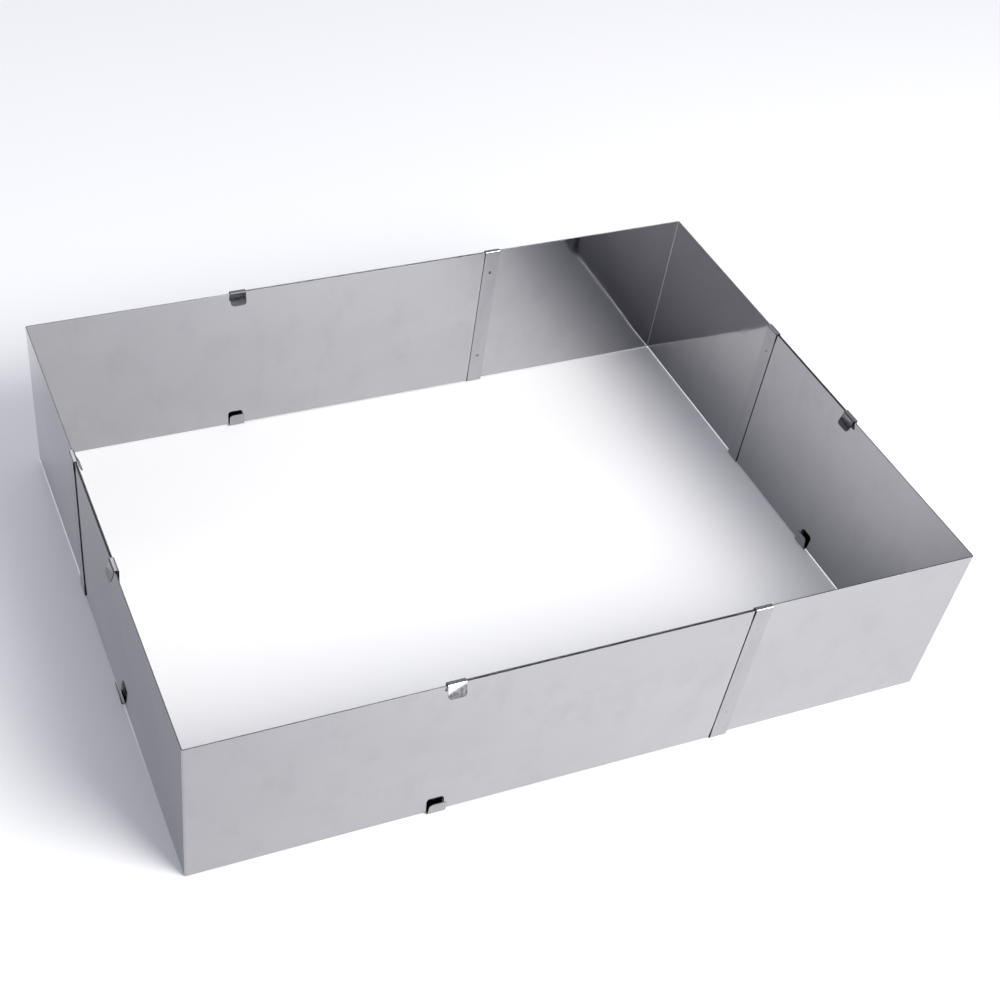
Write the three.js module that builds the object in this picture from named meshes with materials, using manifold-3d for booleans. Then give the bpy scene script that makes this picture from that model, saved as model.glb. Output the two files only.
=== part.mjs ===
// Adjustable cake frame in thin stainless steel, in millimetres, +Z up, +X along the front.
// Four L-shaped corner panels overlap along the sides and slide on one another.
// Two outer panels and two inner panels stand at opposite corners, alike by a half turn.
// A keeper clip is spot-welded to each end of each panel, and its two hooks grip the
// neighbouring panel over the top edge and under the bottom edge.

import * as THREE from 'three';
import { mergeVertices } from 'three/addons/utils/BufferGeometryUtils.js';
import Module from 'manifold-3d';

// Sheet panels
const sheetThickness = 0.5;
const panelHeight = 85;
const outerLongLeg = 262;
const outerShortLeg = 181;
const longNestingRoom = 5.5;
const shortNestingRoom = 3;
const cornerInnerRadius = 0.4;
const slideGap = 0.4;

// Keeper clips
const clipWidth = 8.4;
const clipThickness = 0.4;
const hookInnerRadius = 0.4;
const edgeGap = 0.3;
const stripLift = 0.2;
const stripEaseHeight = 9;
const tabCornerRadius = 1.8;

// Hook over the top edges: room beside the sheet, length and flare of its tab
const topHookGap = 0.2;
const topTabDrop = 6.3;
const topFlareAngle = THREE.MathUtils.degToRad(18);

// Hook under the bottom edges, wider at its root and flared less
const bottomHookGap = 0.8;
const bottomTabRise = 6.8;
const bottomFlareAngle = THREE.MathUtils.degToRad(6);

// Spot welds of a clip, measured from the panel's bottom edge and from its top edge
const lowerWeldHeight = 17;
const upperWeldDrop = 12.5;
const weldDimpleRadius = 0.9;
const weldDimpleDepth = 0.15;

// Travel of the frame: the room left at the corners when pushed together, the gap left
// between meeting clips when pulled out, and how much of each travel is pulled out here
const longEndRoom = 3;
const shortEndRoom = 5;
const stopGap = 1;
const widthPullShare = 0.435;
const depthPullShare = 0.5965;

// Facets and the overrun of every cut
const cornerSegments = 10;
const hookSegments = 6;
const easeSegments = 8;
const tabCornerSegments = 6;
const dimpleSegments = 16;
const dimpleRings = 3;
const cutOverrun = 0.5;

// Inner panels nest inside the outer ones, so their legs are shorter
const innerLongLeg = outerLongLeg - longNestingRoom;
const innerShortLeg = outerShortLeg - shortNestingRoom;
const nestingStep = sheetThickness + slideGap;
const standHeight = edgeGap + clipThickness;
const topHook = { gap: topHookGap, reach: topTabDrop, flareAngle: topFlareAngle };
const bottomHook = { gap: bottomHookGap, reach: bottomTabRise, flareAngle: bottomFlareAngle };

// Outside width or depth of the frame for one pair of overlapping legs
function pulledOut(outerLeg, innerLeg, endRoom, share) {
  const closed = outerLeg + endRoom;
  const open = outerLeg + innerLeg + nestingStep - clipWidth - clipWidth - stopGap;
  return closed + (open - closed) * share;
}

const frameWidth = pulledOut(outerLongLeg, innerLongLeg, longEndRoom, widthPullShare);
const frameDepth = pulledOut(outerShortLeg, innerShortLeg, shortEndRoom, depthPullShare);

const wasm = await Module();
wasm.setup();

// A closed geometry as a solid for cutting
function toSolid(geometry) {
  const bare = geometry.clone();
  bare.deleteAttribute('normal');
  bare.deleteAttribute('uv');
  const merged = mergeVertices(bare);
  return new wasm.Manifold(new wasm.Mesh({
    numProp: 3,
    vertProperties: Float32Array.from(merged.attributes.position.array),
    triVerts: Uint32Array.from(merged.index.array),
  }));
}

// A cut solid back as a geometry
function toGeometry(solid) {
  const mesh = solid.getMesh();
  const geometry = new THREE.BufferGeometry();
  geometry.setAttribute('position', new THREE.BufferAttribute(mesh.vertProperties, mesh.numProp));
  geometry.setIndex(new THREE.BufferAttribute(mesh.triVerts, 1));
  geometry.computeVertexNormals();
  return geometry;
}

// Polished sheet of the panels
function panelMaterial() {
  return new THREE.MeshStandardMaterial({ color: 0xbcbcc2, metalness: 1, roughness: 0.2 });
}

// Strip steel of the clips, a touch darker and rougher
function clipMaterial() {
  return new THREE.MeshStandardMaterial({ color: 0xaeaeb5, metalness: 1, roughness: 0.28 });
}

// L-shaped sheet with one bend, outer corner at the origin, legs along +X and +Y
function panelGeometry(firstLeg, secondLeg) {
  const outerRadius = cornerInnerRadius + sheetThickness;
  const quarter = Math.PI / 2;
  const outline = new THREE.Shape();
  outline.moveTo(firstLeg, 0);
  outline.lineTo(firstLeg, sheetThickness);
  outline.lineTo(outerRadius, sheetThickness);
  outline.absarc(outerRadius, outerRadius, cornerInnerRadius, -quarter, -Math.PI, true);
  outline.lineTo(sheetThickness, secondLeg);
  outline.lineTo(0, secondLeg);
  outline.lineTo(0, outerRadius);
  outline.absarc(outerRadius, outerRadius, outerRadius, Math.PI, Math.PI + quarter, false);
  return new THREE.ExtrudeGeometry(outline, {
    depth: panelHeight,
    bevelEnabled: false,
    curveSegments: cornerSegments,
  });
}

// Distance from a clip's seat through both sheets to the inner face of a hook's tab
function tabFaceOf(hook) {
  return sheetThickness + nestingStep + hook.gap;
}

// Inner face of one hook, from the tab's free end over the sheet edges to the strip's flat.
// X runs from the strip's seat through both sheets, Y is the distance above the edge that
// the hook wraps, and the hook's reach is how far its tab hangs past that edge.
function hookPath(hook) {
  const bendHeight = edgeGap - hookInnerRadius;
  const tabCentre = new THREE.Vector2(tabFaceOf(hook) - hookInnerRadius, bendHeight);
  const stripCentre = new THREE.Vector2(hookInnerRadius - stripLift, bendHeight);
  const path = [];
  const bendPoint = (centre, angle) => new THREE.Vector2(
    centre.x + hookInnerRadius * Math.cos(angle),
    centre.y + hookInnerRadius * Math.sin(angle),
  );
  const bend = (centre, from, to) => {
    for (let i = 0; i <= hookSegments; i += 1) {
      path.push(bendPoint(centre, from + (to - from) * i / hookSegments));
    }
  };
  const tabRoot = bendPoint(tabCentre, hook.flareAngle);
  const tabLength = (tabRoot.y + hook.reach) / Math.cos(hook.flareAngle);
  path.push(new THREE.Vector2(
    tabRoot.x + tabLength * Math.sin(hook.flareAngle),
    tabRoot.y - tabLength * Math.cos(hook.flareAngle),
  ));
  bend(tabCentre, hook.flareAngle, Math.PI / 2);
  bend(stripCentre, Math.PI / 2, Math.PI);
  for (let i = 1; i <= easeSegments; i += 1) {
    const along = i / easeSegments;
    path.push(new THREE.Vector2(
      -stripLift * (1 + Math.cos(Math.PI * along)) / 2,
      bendHeight - stripEaseHeight * along,
    ));
  }
  return path;
}

// Outline of a bent strip: its inner face, and the outer face one thickness outside it
function stripOutline(path, thickness) {
  const outer = path.map((point, i) => {
    const before = path[Math.max(i - 1, 0)];
    const after = path[Math.min(i + 1, path.length - 1)];
    const inbound = point.clone().sub(before);
    const outbound = after.clone().sub(point);
    if (inbound.lengthSq() === 0) inbound.copy(outbound);
    if (outbound.lengthSq() === 0) outbound.copy(inbound);
    const inNormal = new THREE.Vector2(inbound.y, -inbound.x).normalize();
    const outNormal = new THREE.Vector2(outbound.y, -outbound.x).normalize();
    const mitre = inNormal.clone().add(outNormal).normalize();
    return point.clone().addScaledVector(mitre, thickness / mitre.dot(outNormal));
  });
  return new THREE.Shape([...path, ...outer.reverse()]);
}

// Corner of a tab to be rounded: what lies outside the corner arc, cut through the tab.
// side is the edge of the clip, inward points from the tab's free end to its root.
function tabCornerCutter(hook, endHeight, side, inward) {
  const depth = hook.reach * Math.tan(hook.flareAngle) + clipThickness + cutOverrun;
  const edge = clipWidth / 2;
  const at = (across, up) => new THREE.Vector2(side * across, endHeight + inward * up);
  const points = [
    at(edge - tabCornerRadius, -cutOverrun),
    at(edge + cutOverrun, -cutOverrun),
    at(edge + cutOverrun, tabCornerRadius),
  ];
  for (let i = 0; i <= tabCornerSegments; i += 1) {
    const angle = Math.PI / 2 * i / tabCornerSegments;
    points.push(at(
      edge - tabCornerRadius * (1 - Math.cos(angle)),
      tabCornerRadius * (1 - Math.sin(angle)),
    ));
  }
  const cutter = new THREE.ExtrudeGeometry(new THREE.Shape(points), {
    depth,
    bevelEnabled: false,
  });
  cutter.rotateX(Math.PI / 2);
  cutter.rotateZ(Math.PI / 2);
  cutter.translate(tabFaceOf(hook), 0, 0);
  return toSolid(cutter);
}

// Shallow round mark that a spot weld leaves in the strip's outside
function weldDimpleCutter(height) {
  const ballRadius = (weldDimpleRadius ** 2 + weldDimpleDepth ** 2) / (weldDimpleDepth * 2);
  const span = Math.asin(weldDimpleRadius / ballRadius);
  const points = [];
  for (let i = 0; i <= dimpleRings; i += 1) {
    const angle = span * i / dimpleRings;
    points.push(new THREE.Vector2(
      ballRadius * Math.sin(angle),
      ballRadius * (1 - Math.cos(angle)) - weldDimpleDepth,
    ));
  }
  points.push(new THREE.Vector2(weldDimpleRadius, cutOverrun));
  points.push(new THREE.Vector2(0, cutOverrun));
  const cutter = new THREE.LatheGeometry(points, dimpleSegments);
  cutter.rotateZ(Math.PI / 2);
  cutter.translate(-clipThickness, 0, height);
  return toSolid(cutter);
}

// Keeper clip: X from its seat on the panel through both sheets, Y across, Z up
function clipGeometry() {
  const top = hookPath(topHook).map((p) => new THREE.Vector2(p.x, panelHeight + p.y));
  const bottom = hookPath(bottomHook).map((p) => new THREE.Vector2(p.x, -p.y)).reverse();
  const strip = new THREE.ExtrudeGeometry(stripOutline([...top, ...bottom], clipThickness), {
    depth: clipWidth,
    bevelEnabled: false,
  });
  strip.rotateX(Math.PI / 2);
  strip.translate(0, clipWidth / 2, 0);
  let solid = toSolid(strip);
  for (const side of [-1, 1]) {
    solid = solid.subtract(tabCornerCutter(topHook, panelHeight - topTabDrop, side, 1));
    solid = solid.subtract(tabCornerCutter(bottomHook, bottomTabRise, side, -1));
  }
  for (const height of [lowerWeldHeight, panelHeight - upperWeldDrop]) {
    solid = solid.subtract(weldDimpleCutter(height));
  }
  return toGeometry(solid);
}

const clipShape = clipGeometry();

function namedMesh(name, geometry, material) {
  const mesh = new THREE.Mesh(geometry, material);
  mesh.name = name;
  return mesh;
}

// One corner: a panel with a clip at the end of each leg. Outer panels carry the clips on
// their outside, inner panels on their inside, and every hook reaches over the neighbour.
function cornerAssembly(corner) {
  const { panelName, clipNames, legs, isOuter, quarterTurns, place } = corner;
  const group = new THREE.Group();
  group.add(namedMesh(panelName, panelGeometry(...legs), panelMaterial()));
  const seat = isOuter ? 0 : sheetThickness;
  const firstClip = namedMesh(clipNames[0], clipShape.clone(), clipMaterial());
  firstClip.position.set(legs[0] - clipWidth / 2, seat, 0);
  firstClip.rotation.z = isOuter ? Math.PI / 2 : -Math.PI / 2;
  const secondClip = namedMesh(clipNames[1], clipShape.clone(), clipMaterial());
  secondClip.position.set(seat, legs[1] - clipWidth / 2, 0);
  secondClip.rotation.z = isOuter ? 0 : Math.PI;
  group.add(firstClip, secondClip);
  group.rotation.z = quarterTurns * Math.PI / 2;
  group.position.set(place.x, place.y, standHeight);
  return group;
}

// The corners in turn, anticlockwise from the front left
const outerPlace = new THREE.Vector2(frameWidth / 2, frameDepth / 2);
const innerPlace = outerPlace.clone().subScalar(nestingStep);
const corners = [
  {
    panelName: 'panel_front_left',
    clipNames: ['clip_front_left_on_front', 'clip_front_left_on_side'],
    legs: [outerLongLeg, outerShortLeg],
    isOuter: true,
    quarterTurns: 0,
    place: new THREE.Vector2(-outerPlace.x, -outerPlace.y),
  },
  {
    panelName: 'panel_front_right',
    clipNames: ['clip_front_right_on_side', 'clip_front_right_on_front'],
    legs: [innerShortLeg, innerLongLeg],
    isOuter: false,
    quarterTurns: 1,
    place: new THREE.Vector2(innerPlace.x, -innerPlace.y),
  },
  {
    panelName: 'panel_back_right',
    clipNames: ['clip_back_right_on_back', 'clip_back_right_on_side'],
    legs: [outerLongLeg, outerShortLeg],
    isOuter: true,
    quarterTurns: 2,
    place: new THREE.Vector2(outerPlace.x, outerPlace.y),
  },
  {
    panelName: 'panel_back_left',
    clipNames: ['clip_back_left_on_side', 'clip_back_left_on_back'],
    legs: [innerShortLeg, innerLongLeg],
    isOuter: false,
    quarterTurns: 3,
    place: new THREE.Vector2(-innerPlace.x, innerPlace.y),
  },
];

const cakeFrame = new THREE.Group();
for (const corner of corners) cakeFrame.add(cornerAssembly(corner));

export default cakeFrame;
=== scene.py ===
"""Looks of an adjustable cake frame: four polished L-shaped sheets held together by keeper clips.

Each corner of the frame is an L-shaped sheet with a hooked clip welded to the end of each leg.
The sheets and clips are modelled again here, finer than the frame's solids and in the same
places, and dressed as polished stainless steel on a pale studio floor.
"""

import logging
import math
from collections.abc import Callable, Iterator
from contextlib import contextmanager
from dataclasses import dataclass
from enum import Enum

import bmesh
import bpy
from mathutils import Matrix, Vector


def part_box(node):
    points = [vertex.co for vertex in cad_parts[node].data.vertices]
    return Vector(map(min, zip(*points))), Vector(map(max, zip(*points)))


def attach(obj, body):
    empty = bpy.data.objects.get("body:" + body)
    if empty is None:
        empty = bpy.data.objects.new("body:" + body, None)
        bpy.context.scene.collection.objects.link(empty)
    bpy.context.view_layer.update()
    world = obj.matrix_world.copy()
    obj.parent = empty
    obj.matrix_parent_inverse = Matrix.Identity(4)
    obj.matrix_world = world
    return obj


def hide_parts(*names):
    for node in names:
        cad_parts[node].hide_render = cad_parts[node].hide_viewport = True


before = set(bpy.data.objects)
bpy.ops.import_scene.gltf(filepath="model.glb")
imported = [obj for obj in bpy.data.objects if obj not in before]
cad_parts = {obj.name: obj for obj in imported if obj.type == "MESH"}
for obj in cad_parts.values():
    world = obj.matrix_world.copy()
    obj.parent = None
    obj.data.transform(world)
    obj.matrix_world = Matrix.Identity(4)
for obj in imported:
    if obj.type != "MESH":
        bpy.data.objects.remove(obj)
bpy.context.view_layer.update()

MM = 0.001
TOUCH = 0.004 * MM  # two places nearer than this count as one
QUARTER_TURN = math.pi / 2
SHARP_ANGLE = math.radians(60)
LEVEL = 0.9  # a face whose normal rises more than this looks up
UV_LAYER = "sheet_metres"

Colour = tuple[float, float, float, float]
Span = tuple[float, float]
Socket = bpy.types.NodeSocket

log = logging.getLogger("cake_frame")


class Nesting(Enum):
    """Which of the two overlapping layers a sheet forms."""

    OUTER = "outer"
    INNER = "inner"


class Corner(Enum):
    """A corner of the frame: its name, quarter turns from the front left, and its layer."""

    FRONT_LEFT = ("front_left", 0, Nesting.OUTER)
    FRONT_RIGHT = ("front_right", 1, Nesting.INNER)
    BACK_RIGHT = ("back_right", 2, Nesting.OUTER)
    BACK_LEFT = ("back_left", 3, Nesting.INNER)

    @property
    def label(self) -> str:
        """Name that the corner's nodes and body carry."""
        return self.value[0]

    @property
    def quarter_turns(self) -> int:
        """Quarter turns from the front left corner, anticlockwise from above."""
        return self.value[1]

    @property
    def nesting(self) -> Nesting:
        """Layer that the corner's sheet forms."""
        return self.value[2]

    @property
    def side_names(self) -> tuple[str, str]:
        """Sides of the frame on which the first and the second leg lie."""
        main_side = self.label.split("_")[0]
        return (main_side, "side") if self.quarter_turns % 2 == 0 else ("side", main_side)


class Finish(Enum):
    """The finishes that the frame's surfaces can have."""

    SHEET = "polished sheet"
    STRIP = "clip strip"
    MARKED_STRIP = "clip strip with dark weld marks"
    # Upper tab painted bright: a painted highlight.
    PAINTED_HIGHLIGHT_STRIP = "clip strip with a bright upper tab"
    # Cut edges' sides painted dark: painted shade.
    PAINTED_SHADE_EDGE = "dark edge, as sheared"
    # Top faces of cut edges painted lighter than the sides: painted light.
    PAINTED_LIGHT_EDGE = "edge rubbed brighter by use"


Finishes = dict[Finish, bpy.types.Material]

# Pieces whose finish differs from that of their kind: one clip with dark weld marks, one with a
# painted highlight on its upper tab, and one sheet whose top edge is painted dark as shade. The
# rest have plain strips and top edges painted lighter than their sides.
STRIP_FINISHES = {
    "clip_back_left_on_back": Finish.MARKED_STRIP,
    "clip_front_right_on_front": Finish.PAINTED_HIGHLIGHT_STRIP,
}
# The front right sheet's top edge sits in the narrow gap beside the outer sheet and is painted
# dark as shade.
TOP_EDGE_FINISHES = {"panel_front_right": Finish.PAINTED_SHADE_EDGE}


def deselect_objects() -> None:
    """Takes every object out of the selection."""
    for obj in list(bpy.context.selected_objects):
        obj.select_set(False)


def make_active(obj: bpy.types.Object) -> None:
    """Selects one object alone and makes it the active one.

    Args:
        obj: The object that the next operators act on.
    """
    deselect_objects()
    obj.select_set(True)
    bpy.context.view_layer.objects.active = obj


@contextmanager
def edit_mode(obj: bpy.types.Object) -> Iterator[None]:
    """Opens an object in edit mode with nothing selected, and closes it again.

    Args:
        obj: The mesh object to edit.
    """
    make_active(obj)
    bpy.ops.object.mode_set(mode="EDIT")
    bpy.ops.mesh.select_mode(type="VERT")
    bpy.ops.mesh.select_all(action="DESELECT")
    yield
    bpy.ops.object.mode_set(mode="OBJECT")


def pick_vertices(obj: bpy.types.Object, test: Callable[[Vector], bool]) -> None:
    """Selects the vertices whose place passes a test, in edit mode.

    Args:
        obj: The object that is open in edit mode.
        test: Says whether a vertex at this place is picked.
    """
    mesh = bmesh.from_edit_mesh(obj.data)
    for vertex in mesh.verts:
        vertex.select = test(vertex.co)
    mesh.select_flush_mode()
    bmesh.update_edit_mesh(obj.data)


def pick_edges(obj: bpy.types.Object, test: Callable[[Vector], bool]) -> None:
    """Selects the edges whose two ends pass a test, in edit mode.

    Args:
        obj: The object that is open in edit mode.
        test: Says whether an edge may end at this place.
    """
    bpy.ops.mesh.select_mode(type="EDGE")
    mesh = bmesh.from_edit_mesh(obj.data)
    for face in mesh.faces:
        face.select = False
    for edge in mesh.edges:
        edge.select = all(test(vertex.co) for vertex in edge.verts)
    bmesh.update_edit_mesh(obj.data)


def extrude_by(step: Vector) -> None:
    """Extrudes the selected edges by one straight step."""
    bpy.ops.mesh.extrude_edges_move(TRANSFORM_OT_translate={"value": tuple(step)})


def apply_modifier(obj: bpy.types.Object, kind: str, name: str, **settings: object) -> None:
    """Adds a modifier with its settings and applies it.

    Args:
        obj: The object that gets it.
        kind: Blender's name of the modifier's type.
        name: A name for it.
        settings: Its properties and their values.
    """
    make_active(obj)
    modifier = obj.modifiers.new(name, kind)
    for key, value in settings.items():
        setattr(modifier, key, value)
    bpy.ops.object.modifier_apply(modifier=name)


def place_mesh(obj: bpy.types.Object, matrix: Matrix) -> None:
    """Moves a mesh inside its object, which stays at the origin."""
    obj.data.transform(matrix)
    obj.data.update()


def add_plane(name: str, matrix: Matrix) -> bpy.types.Object:
    """Adds a plane, one metre wide before it is placed.

    Args:
        name: Name of the piece that it starts.
        matrix: Its place, turn and size.

    Returns:
        The plane.
    """
    deselect_objects()
    bpy.ops.mesh.primitive_plane_add(size=1.0)
    plane = bpy.context.active_object
    plane.name = plane.data.name = name
    place_mesh(plane, matrix)
    return plane


def copy_piece(obj: bpy.types.Object, name: str, matrix: Matrix) -> bpy.types.Object:
    """Makes a copy with a mesh of its own at another place.

    Args:
        obj: The piece to copy.
        name: Name of the copy.
        matrix: Where the copy lies, counted from the piece.

    Returns:
        The copy.
    """
    twin = obj.copy()
    twin.data = obj.data.copy()
    twin.name = name
    twin.data.name = name
    bpy.context.scene.collection.objects.link(twin)
    place_mesh(twin, matrix)
    return twin


def face_towards(obj: bpy.types.Object, outward: Vector) -> None:
    """Turns the faces of an open shape one way, its widest face towards a direction.

    Args:
        obj: The shape, still without thickness.
        outward: The direction that its outside looks in.
    """
    with edit_mode(obj):
        bpy.ops.mesh.select_all(action="SELECT")
        bpy.ops.mesh.normals_make_consistent(inside=False)
    widest = max(obj.data.polygons, key=lambda face: face.area)
    if widest.normal.dot(outward) < 0.0:
        obj.data.flip_normals()


def thicken(obj: bpy.types.Object, thickness: float, side: float) -> None:
    """Gives an open shape its thickness, with its second material on the rim.

    Args:
        obj: The shape.
        thickness: Gauge of the steel.
        side: 1.0 to grow to the side that the faces look to, -1.0 to the other.
    """
    apply_modifier(
        obj, "SOLIDIFY", "gauge",
        thickness=thickness, offset=side, use_even_offset=True, material_offset_rim=1,
    )


def ease_edges(obj: bpy.types.Object, radius: float, flatness: int) -> None:
    """Rounds a piece's sharp edges and smooths its shading, with wide faces kept flat.

    Args:
        obj: The piece.
        radius: How wide the rounding is.
        flatness: How strongly the wide faces rule the shading, out of 100.
    """
    apply_modifier(
        obj, "BEVEL", "deburr",
        width=radius, segments=2, limit_method="ANGLE", angle_limit=SHARP_ANGLE,
    )
    make_active(obj)
    bpy.ops.object.shade_smooth()
    apply_modifier(obj, "WEIGHTED_NORMAL", "flat_faces", weight=flatness, keep_sharp=False)


def write_uv(obj: bpy.types.Object, rule: Callable[[Vector], tuple[float, float]]) -> None:
    """Lays a UV map in metres over a piece, from the places of its vertices.

    Args:
        obj: The piece.
        rule: Gives the two map coordinates of a place.
    """
    mesh = obj.data
    layer = mesh.uv_layers.get(UV_LAYER) or mesh.uv_layers.new(name=UV_LAYER)
    for loop in mesh.loops:
        layer.data[loop.index].uv = rule(mesh.vertices[loop.vertex_index].co)


@dataclass(frozen=True)
class Pattern:
    """Smooth noise: how often it repeats per metre each way, its octaves and their strength."""

    per_metre: tuple[float, float, float]
    detail: float
    roughness: float


class NodeSketch:
    """Adds and wires the nodes of one material."""

    def __init__(self, name: str) -> None:
        """Starts an empty material with an output and a surface shader."""
        self.material = bpy.data.materials.new(name)
        self.material.use_nodes = True
        self.tree = self.material.node_tree
        self.tree.nodes.clear()
        self.shader = self.add("ShaderNodeBsdfPrincipled")
        output = self.add("ShaderNodeOutputMaterial")
        self.tree.links.new(self.shader.outputs["BSDF"], output.inputs["Surface"])

    def add(self, kind: str, **inputs: object) -> bpy.types.Node:
        """Adds a node and fills its sockets.

        Args:
            kind: Blender's type name of the node.
            inputs: Values or output sockets, by input name with _ for a space.

        Returns:
            The node.
        """
        node = self.tree.nodes.new(kind)
        for key, value in inputs.items():
            self.feed(node.inputs[key.replace("_", " ")], value)
        return node

    def feed(self, socket: Socket, value: object) -> None:
        """Sets a socket to a value, or wires an output to it."""
        if isinstance(value, Socket):
            self.tree.links.new(value, socket)
        else:
            socket.default_value = value

    def map_metres(self) -> Socket:
        """Coordinates of the piece's own UV map, in metres."""
        node = self.tree.nodes.new("ShaderNodeUVMap")
        node.uv_map = UV_LAYER
        return node.outputs["UV"]

    def object_metres(self) -> Socket:
        """Coordinates of the piece in space, in metres."""
        return self.add("ShaderNodeTexCoord").outputs["Object"]

    def noise(self, source: Socket, pattern: Pattern) -> Socket:
        """Noise over some coordinates."""
        mapping = self.add("ShaderNodeMapping", Vector=source, Scale=pattern.per_metre)
        node = self.add(
            "ShaderNodeTexNoise", Vector=mapping.outputs["Vector"],
            Scale=1.0, Detail=pattern.detail, Roughness=pattern.roughness,
        )
        return node.outputs["Fac"]

    def spread(self, source: Socket, span: Span, onto: Span = (0.0, 1.0)) -> Socket:
        """A span of values carried over onto another span, and held there."""
        node = self.tree.nodes.new("ShaderNodeMapRange")
        node.clamp = True
        names = ("Value", "From Min", "From Max", "To Min", "To Max")
        for key, value in zip(names, (source, *span, *onto)):
            self.feed(node.inputs[key], value)
        return node.outputs["Result"]

    def math(self, operation: str, first: object, second: object) -> Socket:
        """Result of a sum, product or other operation on two values."""
        node = self.tree.nodes.new("ShaderNodeMath")
        node.operation = operation
        self.feed(node.inputs[0], first)
        self.feed(node.inputs[1], second)
        return node.outputs[0]

    def distance(self, source: Socket, spot: tuple[float, float, float]) -> Socket:
        """How far some coordinates are from a spot."""
        node = self.add("ShaderNodeVectorMath", Vector=source)
        node.operation = "DISTANCE"
        node.inputs[1].default_value = spot
        return node.outputs["Value"]

    def blend(self, share: object, first: object, second: object) -> Socket:
        """Mix of two colours."""
        node = self.tree.nodes.new("ShaderNodeMix")
        node.data_type = "RGBA"
        self.feed(node.inputs["Factor"], share)
        self.feed(node.inputs["A"], first)
        self.feed(node.inputs["B"], second)
        return node.outputs["Result"]

    def bump(
        self, height: Socket, strength: float, depth: float, under: Socket | None = None
    ) -> Socket:
        """Bumps of some depth, on top of others where these are given."""
        node = self.add("ShaderNodeBump", Height=height, Strength=strength, Distance=depth)
        if under is not None:
            self.feed(node.inputs["Normal"], under)
        return node.outputs["Normal"]

    def finish_metal(self, base: Socket, rough: Socket, normal: Socket) -> bpy.types.Material:
        """Makes the surface bare metal.

        Args:
            base: Its colour.
            rough: Its roughness.
            normal: Its bumps.

        Returns:
            The finished material.
        """
        self.feed(self.shader.inputs["Base Color"], base)
        self.feed(self.shader.inputs["Roughness"], rough)
        self.feed(self.shader.inputs["Normal"], normal)
        self.shader.inputs["Metallic"].default_value = 1.0
        return self.material


@dataclass(frozen=True)
class PolishedSheet:
    """Rolled and polished stainless sheet.

    It has a faint mottle, fine rolling lines and hazy smears, and gentle waves in the sheet
    bend its reflections.
    """

    name: str = "polished_sheet"
    bright: Colour = (0.363, 0.36, 0.38, 1.0)
    dull: Colour = (0.34, 0.337, 0.356, 1.0)
    smeared: Colour = (0.31, 0.307, 0.324, 1.0)
    gloss_roughness: float = 0.06
    haze_roughness: float = 0.11
    mottle: Pattern = Pattern((9, 16, 1), 3.0, 0.6)
    mottle_span: Span = (0.35, 0.7)
    smear: Pattern = Pattern((52, 32, 1), 5.0, 0.7)
    smear_span: Span = (0.5, 0.72)
    smear_share: float = 0.55
    wave: Pattern = Pattern((6, 9, 1), 1.0, 0.4)
    wave_depth: float = 3.0 * MM
    rolling: Pattern = Pattern((12, 2600, 1), 2.0, 0.5)
    rolling_strength: float = 0.06
    rolling_depth: float = 0.04 * MM

    def make(self) -> bpy.types.Material:
        """Builds the material.

        Returns:
            The finished material.
        """
        sketch = NodeSketch(self.name)
        uv = sketch.map_metres()
        tone = sketch.spread(sketch.noise(uv, self.mottle), self.mottle_span)
        base = sketch.blend(tone, self.bright, self.dull)
        haze = sketch.spread(sketch.noise(uv, self.smear), self.smear_span)
        base = sketch.blend(sketch.math("MULTIPLY", haze, self.smear_share), base, self.smeared)
        rough = sketch.spread(haze, (0.0, 1.0), (self.gloss_roughness, self.haze_roughness))
        waves = sketch.bump(sketch.noise(uv, self.wave), 1.0, self.wave_depth)
        lines = sketch.noise(uv, self.rolling)
        normal = sketch.bump(lines, self.rolling_strength, self.rolling_depth, waves)
        return sketch.finish_metal(base, rough, normal)


@dataclass(frozen=True)
class StripMarks:
    """Where painted shade, painted highlight and weld marks lie on a clip's strip, in metres along
    it.
    """

    top_crest: float
    weld_heights: tuple[float, float]
    weld_radius: float


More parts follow.
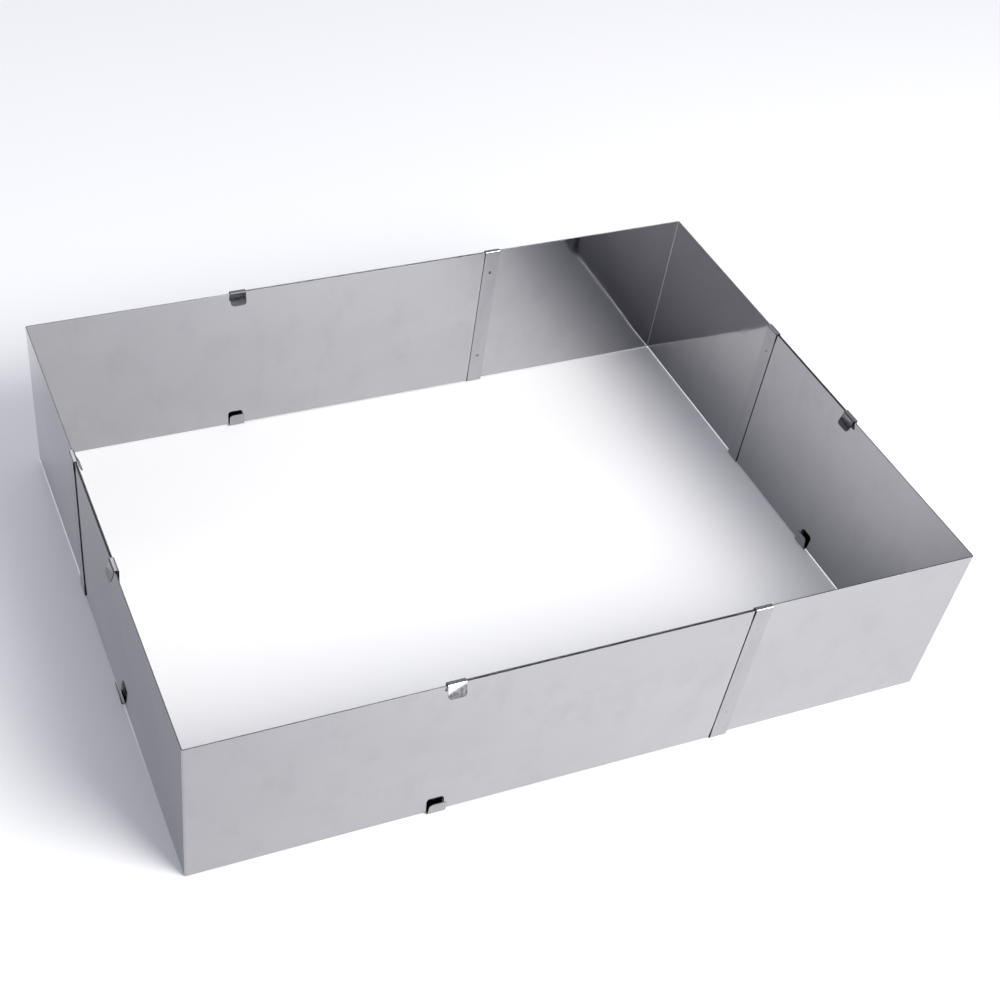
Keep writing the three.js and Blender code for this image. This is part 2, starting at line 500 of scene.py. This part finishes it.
@dataclass(frozen=True)
class StripSteel:
    """Brushed stainless strip of the clips, duller than the sheets.

    Each spot weld leaves a grey mark. Past the crest of the upper bend, painted shade darkens the
    bend, which dims its highlight, and darkens the tab towards its tip, with a slanted, ragged
    border, over rougher, grainier steel. The tab can carry a painted highlight, which leaves it
    bright up to the painted shade.
    """

    name: str = "strip_steel"
    mark_share: float = 0.15
    highlight_share: float = 0.0
    bright: Colour = (0.333, 0.33, 0.35, 1.0)
    dull: Colour = (0.288, 0.286, 0.305, 1.0)
    # Painted highlight for the upper tab.
    burnished: Colour = (0.64, 0.645, 0.655, 1.0)
    # Painted shade for the bend and the tab's lower part.
    scuffed: Colour = (0.14, 0.14, 0.15, 1.0)
    burnt: Colour = (0.115, 0.115, 0.128, 1.0)
    gloss_roughness: float = 0.12
    haze_roughness: float = 0.2
    tab_shade_roughness: float = 0.28
    bend_roughness: float = 0.4
    mottle: Pattern = Pattern((90, 30, 1), 3.0, 0.6)
    mottle_span: Span = (0.35, 0.7)
    haze_span: Span = (0.3, 0.7)
    brushing: Pattern = Pattern((3200, 20, 1), 2.0, 0.5)
    grain_strength: float = 0.12
    grain_depth: float = 0.05 * MM
    # Noise and spans of the tab's painted shade; the noise also roughens the grain there.
    shade_and_grain: Pattern = Pattern((900, 700, 1), 4.0, 0.7)
    shade_slant: float = 0.45
    shade_raggedness: float = 1.2 * MM
    shade_start: Span = (2.8 * MM, 3.8 * MM)
    shade_span: Span = (0.3, 0.6)
    shade_shares: Span = (0.6, 1.0)
    highlight_start: Span = (0.0, 0.5 * MM)
    bend_start: Span = (0.05 * MM, 0.2 * MM)
    bend_end: Span = (0.9 * MM, 1.5 * MM)
    mark_fade: Span = (0.6, 1.3)

    def make(self, marks: StripMarks) -> bpy.types.Material:
        """Builds the material.

        Args:
            marks: Where the painted shade, painted highlight and weld marks lie on the strip.

        Returns:
            The finished material.
        """
        sketch = NodeSketch(self.name)
        uv = sketch.map_metres()
        place = sketch.add("ShaderNodeSeparateXYZ", Vector=uv).outputs
        past_crest = sketch.math("SUBTRACT", place["Y"], marks.top_crest)
        mottle = sketch.noise(uv, self.mottle)
        shade_and_grain_noise = sketch.noise(uv, self.shade_and_grain)
        # Painted shade over the bend past the crest, dimming its highlight.
        bend = self.bend_shade_share(sketch, past_crest)
        # Painted shade over the tab's lower part.
        tab_shade = self.tab_shade_share(sketch, past_crest, place["X"], shade_and_grain_noise)
        # Painted highlight over the upper tab, as strong as its share.
        tab = sketch.spread(past_crest, self.highlight_start, (0.0, self.highlight_share))

        base = sketch.blend(sketch.spread(mottle, self.mottle_span), self.bright, self.dull)
        # Painted shade on the bend, then the painted highlight, then painted shade on the tab's
        # lower part.
        base = sketch.blend(bend, base, self.scuffed)
        base = sketch.blend(tab, base, self.burnished)
        base = sketch.blend(tab_shade, base, self.scuffed)
        fade = tuple(share * marks.weld_radius for share in self.mark_fade)
        for height in marks.weld_heights:
            distance = sketch.distance(uv, (0.0, height, 0.0))
            mark = sketch.spread(distance, fade, (self.mark_share, 0.0))
            base = sketch.blend(mark, base, self.burnt)

        gloss = (self.gloss_roughness, self.haze_roughness)
        rough = sketch.spread(mottle, self.haze_span, gloss)
        for share, roughness in ((tab_shade, self.tab_shade_roughness), (bend, self.bend_roughness)):
            rough = sketch.math("MAXIMUM", rough, sketch.math("MULTIPLY", share, roughness))

        lines = sketch.noise(uv, self.brushing)
        grain = sketch.math("ADD", lines, sketch.math("MULTIPLY", tab_shade, shade_and_grain_noise))
        normal = sketch.bump(grain, self.grain_strength, self.grain_depth)
        return sketch.finish_metal(base, rough, normal)

    def bend_shade_share(self, sketch: NodeSketch, past_crest: Socket) -> Socket:
        """How much painted shade dims the tab's bend, from 0 away from it to 1, or to 0 where the
        tab has its painted highlight.

        Args:
            sketch: The material that it goes into.
            past_crest: Way along the strip from the upper bend's crest.

        Returns:
            The share of painted shade, which dims the bend's highlight.
        """
        start = sketch.spread(past_crest, self.bend_start, (0.0, 1.0 - self.highlight_share))
        end = sketch.spread(past_crest, self.bend_end, (1.0, 0.0))
        return sketch.math("MULTIPLY", start, end)

    def tab_shade_share(
        self, sketch: NodeSketch, past_crest: Socket, across: Socket, shade_and_grain_noise: Socket
    ) -> Socket:
        """How much painted shade darkens the tab, from 0 below its slanted border to 1.

        Args:
            sketch: The material that it goes into.
            past_crest: Way along the strip from the upper bend's crest.
            across: Place across the strip.
            shade_and_grain_noise: Noise that makes the border ragged and the painted shade uneven.

        Returns:
            The share of painted shade.
        """
        slant = sketch.math("MULTIPLY", across, self.shade_slant)
        ragged = sketch.math("MULTIPLY", shade_and_grain_noise, self.shade_raggedness)
        along = sketch.math("ADD", sketch.math("ADD", past_crest, slant), ragged)
        uneven = sketch.spread(shade_and_grain_noise, self.shade_span, self.shade_shares)
        return sketch.math("MULTIPLY", sketch.spread(along, self.shade_start), uneven)


@dataclass(frozen=True)
class CutEdge:
    """Cut edge of sheet or strip, grainy: one copy is painted dark as shade, another painted
    lighter as light on top faces.
    """

    name: str
    light: Colour
    dark: Colour
    roughness: Span
    grain: Pattern = Pattern((2200, 2200, 2200), 3.0, 0.6)
    colour_span: Span = (0.35, 0.65)
    roughness_span: Span = (0.3, 0.7)
    grain_strength: float = 0.2
    grain_depth: float = 0.03 * MM

    def make(self) -> bpy.types.Material:
        """Builds the material.

        Returns:
            The finished material.
        """
        sketch = NodeSketch(self.name)
        grain = sketch.noise(sketch.object_metres(), self.grain)
        base = sketch.blend(sketch.spread(grain, self.colour_span), self.light, self.dark)
        rough = sketch.spread(grain, self.roughness_span, self.roughness)
        normal = sketch.bump(grain, self.grain_strength, self.grain_depth)
        return sketch.finish_metal(base, rough, normal)


# Cut edges' sides painted dark: painted shade.
PAINTED_SHADE_EDGE = CutEdge(
    "painted_shade_edge", light=(0.12, 0.12, 0.128, 1.0), dark=(0.06, 0.06, 0.065, 1.0),
    roughness=(0.35, 0.5),
)
# Top faces of the cut edges painted lighter than their sides: painted light.
PAINTED_LIGHT_EDGE = CutEdge(
    "painted_light_edge", light=(0.21, 0.21, 0.218, 1.0), dark=(0.14, 0.14, 0.146, 1.0),
    roughness=(0.28, 0.4),
)


@dataclass(frozen=True)
class PaleFloor:
    """Nearly white studio floor with a soft sheen and faint clouds."""

    name: str = "pale_floor"
    light: Colour = (0.93, 0.93, 0.935, 1.0)
    shade: Colour = (0.915, 0.915, 0.92, 1.0)
    roughness: float = 0.5
    sheen: float = 1.0
    clouds: Pattern = Pattern((1.5, 1.5, 1.5), 2.0, 0.5)

    def make(self) -> bpy.types.Material:
        """Builds the material.

        Returns:
            The finished material.
        """
        sketch = NodeSketch(self.name)
        cloud = sketch.noise(sketch.object_metres(), self.clouds)
        base = sketch.blend(cloud, self.light, self.shade)
        sketch.feed(sketch.shader.inputs["Base Color"], base)
        sketch.shader.inputs["Roughness"].default_value = self.roughness
        sketch.shader.inputs["Specular IOR Level"].default_value = self.sheen
        return sketch.material


@dataclass
class PanelSheet:
    """L-shaped sheet with one bend. Its outer corner is at the origin, legs along +X and +Y."""

    first_leg: float
    second_leg: float
    height: float
    thickness: float = 0.5 * MM
    bend_radius: float = 0.9 * MM
    bend_segments: int = 16
    edge_round: float = 0.08 * MM
    flatness: int = 90

    def build(self, name: str, finishes: Finishes, top_edge: Finish) -> bpy.types.Object:
        """Models the sheet: two legs, a rounded bend, thickness and eased edges.

        Args:
            name: Name of the piece.
            finishes: Materials of the finishes.
            top_edge: Finish of the top edge.

        Returns:
            The sheet.
        """
        turn_up = Matrix.Rotation(QUARTER_TURN, 4, "X")
        stretch = Matrix.Diagonal((self.first_leg, 1.0, self.height, 1.0))
        centre = Matrix.Translation((self.first_leg / 2, 0.0, self.height / 2))
        sheet = add_plane(name, centre @ stretch @ turn_up)
        with edit_mode(sheet):
            pick_edges(sheet, lambda co: abs(co.x) < TOUCH)
            extrude_by(Vector((0.0, self.second_leg, 0.0)))
            pick_edges(sheet, lambda co: co.xy.length < TOUCH)
            bpy.ops.mesh.bevel(offset=self.bend_radius, segments=self.bend_segments, profile=0.5)
        face_towards(sheet, Vector((-1.0, -1.0, 0.0)))
        # Slots: the sheet, the cut edges' sides painted dark as shade, and the top edge's finish.
        for finish in (Finish.SHEET, Finish.PAINTED_SHADE_EDGE, top_edge):
            sheet.data.materials.append(finishes[finish])
        thicken(sheet, self.thickness, -1.0)
        # Faces that look up take the top edge's finish; on most sheets it is painted lighter than
        # the shaded sides.
        top_slot = len(sheet.data.materials) - 1
        for face in sheet.data.polygons:
            if face.normal.z > LEVEL:
                face.material_index = top_slot
        ease_edges(sheet, self.edge_round, self.flatness)
        write_uv(sheet, lambda co: (co.x - co.y, co.z))
        return sheet


@dataclass(frozen=True)
class Hook:
    """One hook of a clip: which edges it wraps, its room beside the sheet, and its tab."""

    up: float
    gap: float
    reach: float
    flare: float
    curl: float


@dataclass
class KeeperClip:
    """Bent strip with a hook over the top edges and one under the bottom edges.

    X runs from its seat through both sheets, Y across it, Z up from the sheet's bottom edge.
    """

    height: float
    width: float = 8.4 * MM
    thickness: float = 0.4 * MM
    sheet_thickness: float = 0.5 * MM
    nesting_step: float = 0.9 * MM
    bend_radius: float = 0.4 * MM
    edge_gap: float = 0.3 * MM
    strip_lift: float = 0.2 * MM
    ease_height: float = 9.0 * MM
    top: Hook = Hook(
        up=1.0, gap=0.2 * MM, reach=6.3 * MM, flare=math.radians(18), curl=math.radians(11)
    )
    bottom: Hook = Hook(up=-1.0, gap=0.8 * MM, reach=6.8 * MM, flare=math.radians(6), curl=0.0)
    tab_corner: float = 1.8 * MM
    edge_round: float = 0.07 * MM
    lower_weld: float = 17.0 * MM
    upper_weld_drop: float = 12.5 * MM
    weld_radius: float = 0.9 * MM
    weld_depth: float = 0.15 * MM
    bend_segments: int = 9
    ease_segments: int = 10
    tab_segments: int = 3
    corner_segments: int = 7
    weld_segments: int = 96
    flatness: int = 80

    @property
    def weld_heights(self) -> tuple[float, float]:
        """Heights of the two spot welds along the strip."""
        return self.lower_weld, self.height - self.upper_weld_drop

    @property
    def crest(self) -> float:
        """How far the clip's bends stand past the sheets' edges."""
        return self.edge_gap + self.thickness

    @property
    def marks(self) -> StripMarks:
        """Where the painted shade, painted highlight and weld marks lie on the strip."""
        return StripMarks(self.height + self.crest, self.weld_heights, self.weld_radius)

    def tab_face(self, hook: Hook) -> float:
        """Distance from the seat to the inside of a tab's root."""
        return self.sheet_thickness + self.nesting_step + hook.gap

    def along(self, co: Vector) -> float:
        """Place along the bent strip: its height, and past the crests it runs on over the tabs."""
        if co.x < self.nesting_step:
            return co.z
        return 2.0 * (self.height + self.crest if co.z > self.height / 2 else -self.crest) - co.z

    def build(self, name: str, finishes: Finishes) -> bpy.types.Object:
        """Models one clip, from the straight of its strip out to both tabs.

        Args:
            name: Name of the piece.
            finishes: Materials of the finishes.

        Returns:
            The clip.
        """
        clip = self.straight_strip(name)
        for hook in (self.top, self.bottom):
            self.bend_hook(clip, hook)
        self.round_tabs(clip)
        face_towards(clip, Vector((-1.0, 0.0, 0.0)))
        # The strip, and its cut edges painted dark as shade.
        for finish in (Finish.STRIP, Finish.PAINTED_SHADE_EDGE):
            clip.data.materials.append(finishes[finish])
        thicken(clip, self.thickness, 1.0)
        self.press_welds(clip)
        ease_edges(clip, self.edge_round, self.flatness)
        write_uv(clip, lambda co: (co.y, self.along(co)))
        return clip

    def straight_strip(self, name: str) -> bpy.types.Object:
        """Adds the straight middle of the strip, flat on its seat."""
        low = self.bend_radius - self.edge_gap + self.ease_height
        turn_up = Matrix.Rotation(QUARTER_TURN, 4, "Y")
        stretch = Matrix.Diagonal((1.0, self.width, self.height - 2.0 * low, 1.0))
        centre = Matrix.Translation((0.0, 0.0, self.height / 2))
        return add_plane(name, centre @ stretch @ turn_up)

    def bend_hook(self, clip: bpy.types.Object, hook: Hook) -> None:
        """Draws the strip's end off its seat, over the sheets' edges and into a flared tab.

        Args:
            clip: The clip so far.
            hook: The hook to bend.
        """
        edge = self.height if hook.up > 0.0 else 0.0
        bend_height = self.edge_gap - self.bend_radius
        level = edge + hook.up * bend_height
        strip_centre = Vector((self.bend_radius - self.strip_lift, 0.0, level))
        tab_centre = Vector((self.tab_face(hook) - self.bend_radius, 0.0, level))
        extreme = max if hook.up > 0.0 else min
        with edit_mode(clip):
            tip = extreme(vertex.co.z for vertex in bmesh.from_edit_mesh(clip.data).verts)
            pick_edges(clip, lambda co: abs(co.z - tip) < TOUCH)
            self.ease_off(hook)
            self.spin_edge(strip_centre, -hook.up * QUARTER_TURN)
            extrude_by(tab_centre - strip_centre)
            root_flare = hook.flare - hook.curl
            self.spin_edge(tab_centre, -hook.up * (QUARTER_TURN - root_flare))
            root_height = bend_height + self.bend_radius * math.sin(root_flare)
            fall = (root_height + hook.reach) / self.tab_segments
            for step in range(self.tab_segments):
                share = 2.0 * (step + 0.5) / self.tab_segments - 1.0
                slope = math.tan(hook.flare + hook.curl * share)
                extrude_by(Vector((fall * slope, 0.0, -hook.up * fall)))

    def ease_off(self, hook: Hook) -> None:
        """Draws the selected end of the strip off its seat in small steps."""
        rise = hook.up * self.ease_height / self.ease_segments
        for step in range(1, self.ease_segments + 1):
            extrude_by(Vector((self.eased(step) - self.eased(step - 1), 0.0, rise)))

    def eased(self, step: int) -> float:
        """How far the strip has drawn off its seat after this many steps."""
        return -self.strip_lift * (1.0 - math.cos(math.pi * step / self.ease_segments)) / 2

    def spin_edge(self, centre: Vector, angle: float) -> None:
        """Bends the selected edge round a centre."""
        bpy.ops.mesh.spin(
            steps=self.bend_segments, angle=angle, center=tuple(centre), axis=(0.0, 1.0, 0.0)
        )

    def round_tabs(self, clip: bpy.types.Object) -> None:
        """Rounds the two free corners of each tab."""
        tips = (self.height - self.top.reach, self.bottom.reach)

        def at_tip(co: Vector) -> bool:
            """Whether a vertex is at the free end of a tab."""
            return co.x > self.nesting_step and min(abs(co.z - tip) for tip in tips) < TOUCH

        with edit_mode(clip):
            pick_vertices(clip, at_tip)
            bpy.ops.mesh.bevel(
                offset=self.tab_corner, segments=self.corner_segments,
                affect="VERTICES", profile=0.5,
            )

    def press_welds(self, clip: bpy.types.Object) -> None:
        """Presses the shallow round mark of each spot weld into the strip."""
        ball = (self.weld_radius ** 2 + self.weld_depth ** 2) / (2.0 * self.weld_depth)
        for number, height in enumerate(self.weld_heights):
            deselect_objects()
            bpy.ops.mesh.primitive_uv_sphere_add(
                segments=self.weld_segments, ring_count=self.weld_segments // 2, radius=ball,
                location=(-self.thickness + self.weld_depth - ball, 0.0, height),
                rotation=(0.0, QUARTER_TURN, 0.0),
            )
            cutter = bpy.context.active_object
            apply_modifier(
                clip, "BOOLEAN", f"weld_{number}",
                operation="DIFFERENCE", object=cutter, solver="EXACT",
            )
            bpy.data.objects.remove(cutter)


@dataclass
class CornerAssembly:
    """One corner of the frame: its sheet and the clips at the ends of both legs."""

    corner: Corner

    @property
    def panel_node(self) -> str:
        """Name of the corner's sheet in the frame."""
        return f"panel_{self.corner.label}"

    @property
    def body(self) -> str:
        """Name of the corner's body in the frame."""
        return f"{self.corner.label}_corner"

    def clip_node(self, leg: int) -> str:
        """Name in the frame of the clip on this leg."""
        return f"clip_{self.corner.label}_on_{self.corner.side_names[leg]}"

    def place(self) -> Matrix:
        """Turn and place of the corner, from the box of its sheet in the frame."""
        low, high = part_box(self.panel_node)
        turns = self.corner.quarter_turns
        corner_x = low.x if turns in (0, 3) else high.x
        corner_y = low.y if turns in (0, 1) else high.y
        turned = Matrix.Rotation(turns * QUARTER_TURN, 4, "Z")
        return Matrix.Translation((corner_x, corner_y, low.z)) @ turned

    def legs(self) -> tuple[float, float]:
        """Lengths of the first and second leg, from the sheet's box."""
        low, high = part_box(self.panel_node)
        across, along = high.x - low.x, high.y - low.y
        return (across, along) if self.corner.quarter_turns % 2 == 0 else (along, across)

    def height(self) -> float:
        """Height of the sheet."""
        low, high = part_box(self.panel_node)
        return high.z - low.z

    def clip_seat(self, leg: int, clip: KeeperClip) -> Matrix:
        """Where the clip on a leg lies, counted from the sheet's outer corner.

        Args:
            leg: 0 for the first leg, 1 for the second.
            clip: The clip, for its width and the sheet's thickness.

        Returns:
            The clip's turn and place.
        """
        outer = self.corner.nesting is Nesting.OUTER
        seat = 0.0 if outer else clip.sheet_thickness
        along = self.legs()[leg] - clip.width / 2
        if leg == 0:
            turns = 1 if outer else -1
            spot = Vector((along, seat, 0.0))
        else:
            turns = 0 if outer else 2
            spot = Vector((seat, along, 0.0))
        return Matrix.Translation(spot) @ Matrix.Rotation(turns * QUARTER_TURN, 4, "Z")

    def build(
        self, clip: KeeperClip, clip_master: bpy.types.Object, finishes: Finishes
    ) -> list[bpy.types.Object]:
        """Builds the corner's pieces and sets them on its body.

        Args:
            clip: Sizes of the clips.
            clip_master: The clip that is copied to each leg.
            finishes: Materials of the finishes.

        Returns:
            The sheet and its two clips.
        """
        sheet = PanelSheet(*self.legs(), self.height())
        # Top edges are painted lighter than the dark painted shade of the sides, save the sheets
        # listed above.
        top_edge = TOP_EDGE_FINISHES.get(self.panel_node, Finish.PAINTED_LIGHT_EDGE)
        panel = sheet.build(f"sheet_{self.corner.label}", finishes, top_edge)
        place_mesh(panel, self.place())
        self.adopt(panel, self.panel_node)
        pieces = [panel]
        for leg in (0, 1):
            node = self.clip_node(leg)
            name = node.replace("clip", "keeper")
            keeper = copy_piece(clip_master, name, self.place() @ self.clip_seat(leg, clip))
            strip = STRIP_FINISHES.get(node, Finish.STRIP)
            keeper.data.materials[0] = finishes[strip]
            self.adopt(keeper, node)
            pieces.append(keeper)
        return pieces

    def adopt(self, piece: bpy.types.Object, node: str) -> None:
        """Sets a finished piece on the corner's body in place of a node."""
        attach(piece, self.body)
        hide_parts(node)


@dataclass(frozen=True)
class SoftLight:
    """Soft square light that looks at the frame: its name, place, side, power and colour."""

    name: str
    place: tuple[float, float, float]
    side: float
    watts: float
    tone: tuple[float, float, float]

    def add(self) -> None:
        """Hangs the light over the floor."""
        light = bpy.data.lights.new(self.name, "AREA")
        light.size = self.side
        light.energy = self.watts
        light.color = self.tone
        lamp = bpy.data.objects.new(self.name, light)
        lamp.location = self.place
        lamp.rotation_euler = (-Vector(self.place)).to_track_quat("-Z", "Y").to_euler()
        bpy.context.scene.collection.objects.link(lamp)


@dataclass
class Studio:
    """Pale floor, soft lights and the camera at the photograph's viewing angle."""

    floor_size: float = 9.0
    key: SoftLight = SoftLight("key", (0.67, -1.06, 1.14), 0.95, 35.0, (1.0, 0.99, 0.955))
    fill: SoftLight = SoftLight("fill", (-0.2, 1.5, 1.2), 0.8, 3.0, (1.0, 0.99, 0.98))
    sky_tone: Colour = (0.96, 0.98, 1.1, 1.0)
    sky_rise: Span = (0.0, 0.85)
    sky_strength: Span = (0.5, 0.53)
    camera_place: tuple[float, float, float] = (-0.27829, -0.49503, 0.5497)
    camera_turn: tuple[float, float, float] = (42.2113, -3.6417, -20.299)
    lens: float = 55.547
    sensor_width: float = 36.0
    shift: tuple[float, float] = (0.15, 0.15)

    def build(self) -> None:
        """Adds the floor, the lights, the sky and the camera."""
        self.add_floor()
        self.key.add()
        self.fill.add()
        self.add_sky()
        self.add_camera()
        bpy.context.scene.view_settings.view_transform = "Standard"

    def add_floor(self) -> None:
        """Adds the floor that the frame stands on."""
        floor = add_plane("studio_floor", Matrix.Scale(self.floor_size, 4))
        floor.data.materials.append(PaleFloor().make())

    def add_sky(self) -> None:
        """Surrounds the set with soft cool light, a little stronger overhead."""
        world = bpy.data.worlds.new("soft_surround")
        world.use_nodes = True
        tree = world.node_tree
        direction = tree.nodes.new("ShaderNodeTexCoord").outputs["Generated"]
        split = tree.nodes.new("ShaderNodeSeparateXYZ")
        tree.links.new(direction, split.inputs[0])
        rise = tree.nodes.new("ShaderNodeMapRange")
        tree.links.new(split.outputs["Z"], rise.inputs["Value"])
        names = ("From Min", "From Max", "To Min", "To Max")
        for key, value in zip(names, (*self.sky_rise, *self.sky_strength)):
            rise.inputs[key].default_value = value
        background = tree.nodes["Background"]
        background.inputs["Color"].default_value = self.sky_tone
        tree.links.new(rise.outputs["Result"], background.inputs["Strength"])
        bpy.context.scene.world = world

    def add_camera(self) -> None:
        """Adds the camera at the photograph's viewpoint."""
        data = bpy.data.cameras.new("viewpoint")
        data.sensor_fit = "HORIZONTAL"
        data.sensor_width = self.sensor_width
        data.lens = self.lens
        data.shift_x, data.shift_y = self.shift
        camera = bpy.data.objects.new("viewpoint", data)
        camera.location = self.camera_place
        camera.rotation_euler = [math.radians(angle) for angle in self.camera_turn]
        bpy.context.scene.collection.objects.link(camera)
        bpy.context.scene.camera = camera


def make_finishes(marks: StripMarks) -> Finishes:
    """Builds the material of each finish.

    Args:
        marks: Where the painted shade, painted highlight and weld marks lie on the clips' strips.

    Returns:
        The materials by finish.
    """
    marked = StripSteel("marked_strip_steel", mark_share=0.85)
    # Clip steel with a painted highlight on its upper tab.
    burnished = StripSteel("strip_steel_painted_highlight", highlight_share=1.0)
    return {
        Finish.SHEET: PolishedSheet().make(),
        Finish.STRIP: StripSteel().make(marks),
        Finish.MARKED_STRIP: marked.make(marks),
        Finish.PAINTED_HIGHLIGHT_STRIP: burnished.make(marks),
        Finish.PAINTED_SHADE_EDGE: PAINTED_SHADE_EDGE.make(),
        Finish.PAINTED_LIGHT_EDGE: PAINTED_LIGHT_EDGE.make(),
    }


def main() -> None:
    """Builds the frame's corners and the studio around them."""
    logging.basicConfig(level=logging.INFO, format="%(name)s: %(message)s")
    corners = [CornerAssembly(corner) for corner in Corner]
    clip = KeeperClip(corners[0].height())
    finishes = make_finishes(clip.marks)
    clip_master = clip.build("keeper_master", finishes)
    for assembly in corners:
        for piece in assembly.build(clip, clip_master, finishes):
            log.info("%s rides on %s", piece.name, assembly.body)
    bpy.data.objects.remove(clip_master)
    Studio().build()


if __name__ == "__main__":
    main()
